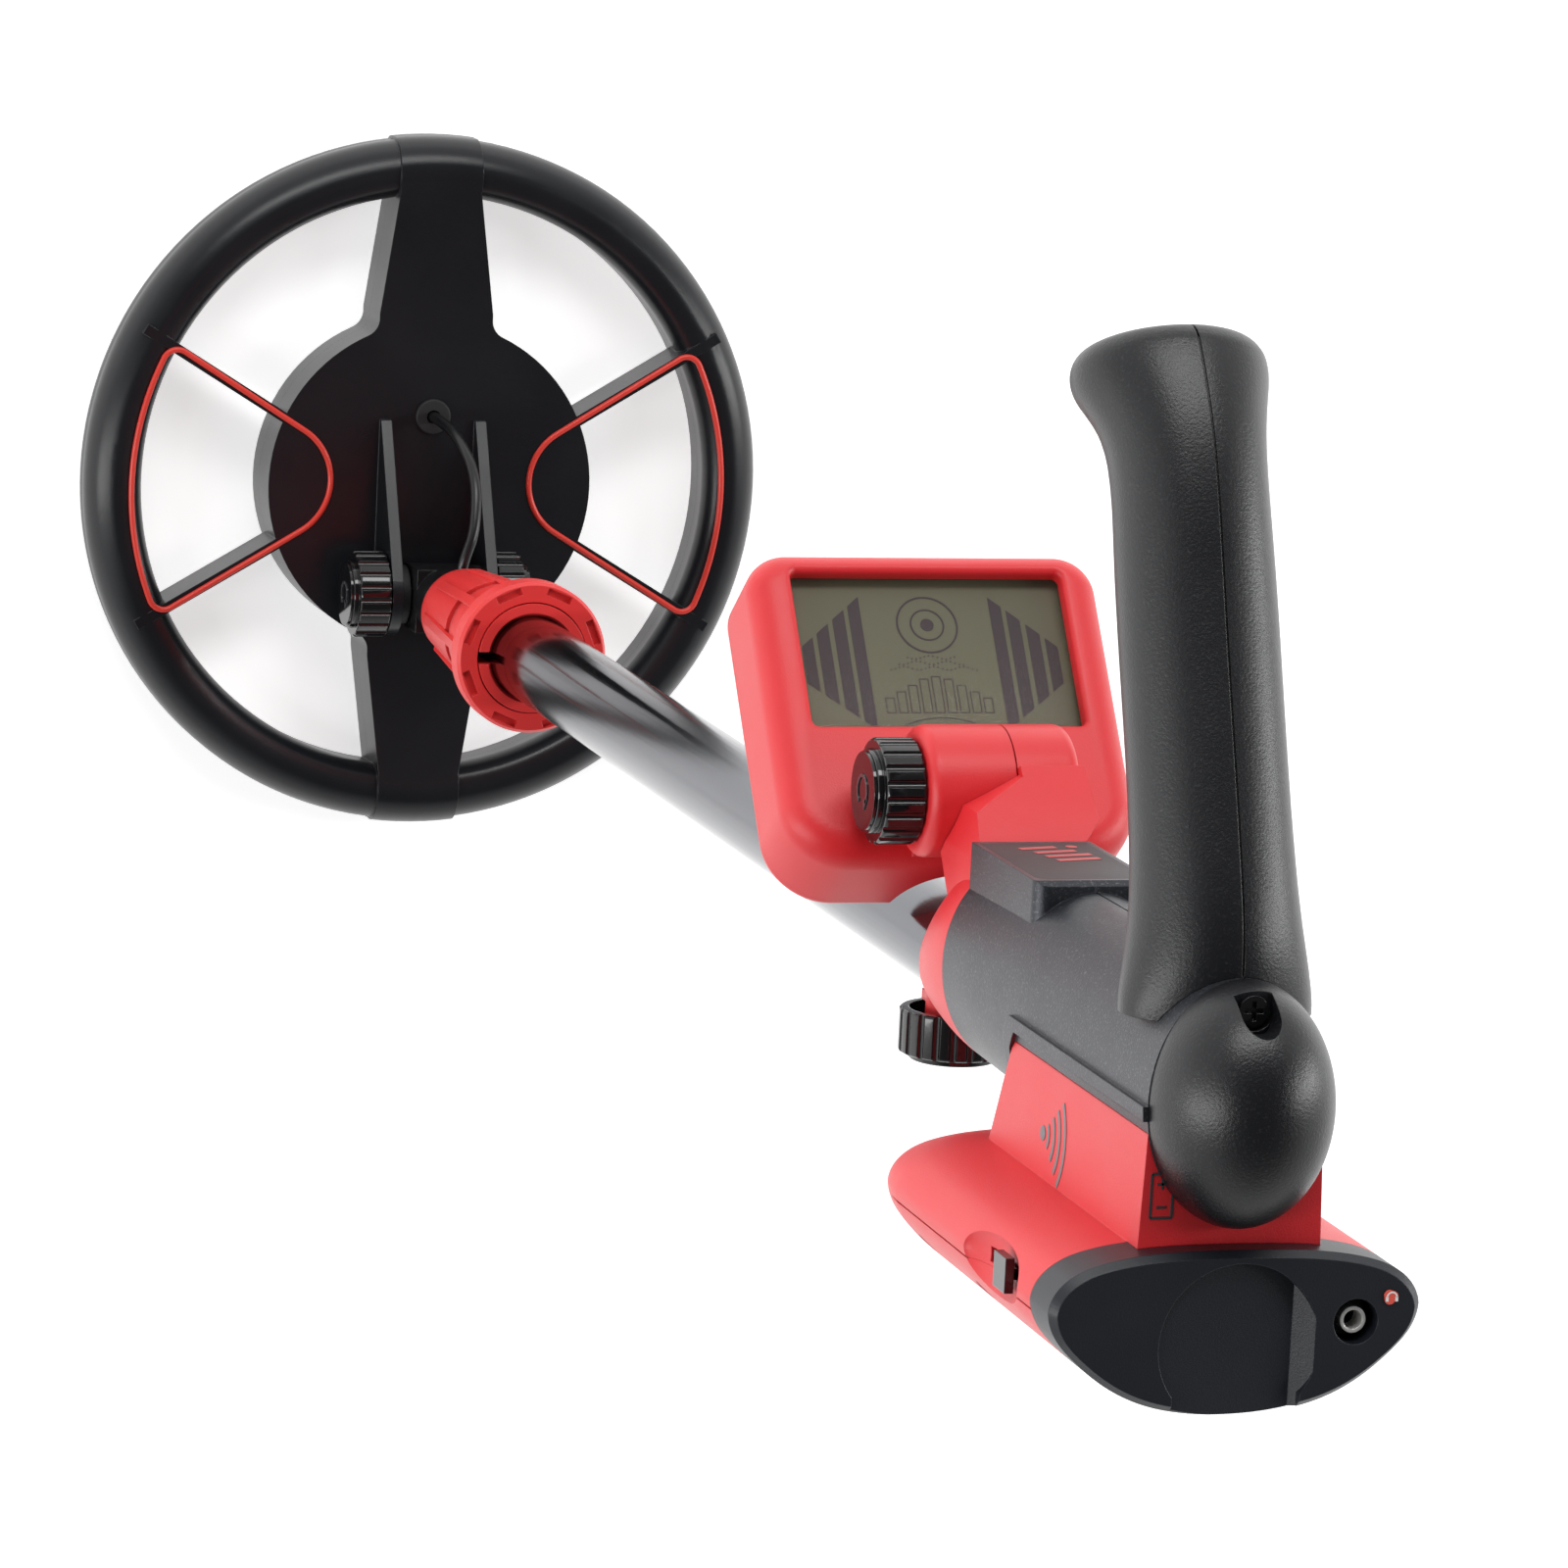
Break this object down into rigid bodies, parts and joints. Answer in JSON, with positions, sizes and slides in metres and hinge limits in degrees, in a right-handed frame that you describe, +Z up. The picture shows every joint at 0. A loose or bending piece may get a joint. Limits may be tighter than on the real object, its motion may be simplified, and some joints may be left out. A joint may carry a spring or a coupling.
{
  "type": "metal detector",
  "caption": "Small hand-held metal detector: spoked search coil, telescoping shaft with twist lock, upright grip, battery box and tilting display.",
  "frame": {"origin": "middle of the search coil's flat underside, on the ground", "axes": "+Z up along the shaft, +Y towards the coil's toe, the grip and the display, +X to the user's right"},
  "size_m": [0.1883, 0.2109, 0.6905],
  "materials": {
    "coil_black": "satin",
    "trim_red": "satin",
    "case_red": "fine texture",
    "nut_red": "satin",
    "knob_black": "gloss",
    "body_grey": "spark-eroded texture",
    "grip_black": "spark-eroded texture",
    "cover_black": "satin",
    "tube_metal": "brushed, anodised grey",
    "rod_black": "satin",
    "steel": "satin",
    "nickel": "bright",
    "copper": "enamelled wire",
    "cable": "satin",
    "washer": "matt",
    "board": "solder mask",
    "lcd_glass": "clear",
    "lcd": "matt",
    "cell": "printed sleeve",
    "icon_red": "satin",
    "inner_black": "matt"
  },
  "bodies": {
    "coil": {"coil_upper_shell": "coil_black", "coil_lower_shell": "coil_black", "red_trim_left": "trim_red", "red_trim_right": "trim_red", "tx_winding": "copper", "rx_winding": "copper", "cable_grommet": "washer", "coil_lead": "cable", "pivot_bolt": "knob_black", "pivot_washers": "washer"},
    "pivot_knob_l": {"pivot_knob_left": "knob_black", "pivot_cap_left": "knob_black"},
    "pivot_knob_r": {"pivot_knob_right": "knob_black", "pivot_cap_right": "knob_black"},
    "lower_shaft": {"lower_rod": "rod_black", "inner_lead": "cable"},
    "twist_lock": {"lock_nut": "nut_red"},
    "housing": {"upper_tube": "tube_metal", "collet": "nut_red", "tube_bush": "inner_black", "front_sleeve": "case_red", "clamp_screw": "steel", "body_left": "body_grey", "body_right": "body_grey", "badge_plate": "inner_black", "grip_left": "grip_black", "grip_right": "grip_black", "shell_screws": "steel", "rear_ball": "grip_black", "ball_screw": "knob_black", "battery_box_upper": "case_red", "battery_box_lower": "case_red", "box_screws": "steel", "battery_bulkhead": "inner_black", "battery_cells": "cell", "battery_springs": "nickel", "main_board": "board", "speaker": "inner_black", "switch_body": "inner_black", "headphone_jack": "inner_black", "jack_ring": "nickel", "hinge_bolt": "steel"},
    "display": {"pod_front_bezel": "case_red", "pod_rear_cover": "case_red", "pod_screws": "steel", "lcd_window": "lcd_glass", "lcd_module": "lcd", "display_board": "board"},
    "display_knob_body": {"display_knob": "knob_black", "display_knob_cap": "knob_black"},
    "clamp_knob_body": {"clamp_knob": "knob_black"},
    "switch": {"switch_slider": "knob_black"},
    "cover": {"battery_cover": "cover_black", "headphone_badge": "icon_red", "contact_plates": "nickel", "contact_carrier": "inner_black"}
  },
  "joints": [
    {"name": "shaft_tilt", "type": "hinge", "parent": "coil", "child": "lower_shaft", "pos_m": [0, -0.028, 0.033], "axis": [1, 0, 0], "range_deg": [-15, 80], "deforming": ["coil_lead"]},
    {"name": "shaft_extend", "type": "slide", "parent": "lower_shaft", "child": "housing", "axis": [0, 0, 1], "range_m": [0, 0.2]},
    {"name": "lock_twist", "type": "hinge", "parent": "housing", "child": "twist_lock", "pos_m": [0, -0.028, 0.12], "axis": [0, 0, 1], "range_deg": [0, 90]},
    {"name": "pivot_knob_left_turn", "type": "hinge", "parent": "coil", "child": "pivot_knob_l", "pos_m": [-0.02, -0.028, 0.033], "axis": [1, 0, 0], "continuous": true},
    {"name": "pivot_knob_right_turn", "type": "hinge", "parent": "coil", "child": "pivot_knob_r", "pos_m": [0.02, -0.028, 0.033], "axis": [1, 0, 0], "continuous": true},
    {"name": "display_tilt", "type": "hinge", "parent": "housing", "child": "display", "pos_m": [0, 0.0064, 0.5112], "axis": [1, 0, 0], "range_deg": [-10, 35]},
    {"name": "display_knob_turn", "type": "hinge", "parent": "housing", "child": "display_knob_body", "pos_m": [-0.02, 0.0064, 0.5112], "axis": [1, 0, 0], "continuous": true},
    {"name": "clamp_knob_turn", "type": "hinge", "parent": "housing", "child": "clamp_knob_body", "pos_m": [0, -0.046, 0.5], "axis": [0, 1, 0], "continuous": true},
    {"name": "power_switch", "type": "slide", "parent": "housing", "child": "switch", "axis": [0, 0, -1], "range_m": [0, 0.006]},
    {"name": "battery_cover_pull", "type": "slide", "parent": "housing", "child": "cover", "axis": [0, 0, 1], "range_m": [0, 0.03]}
  ]
}
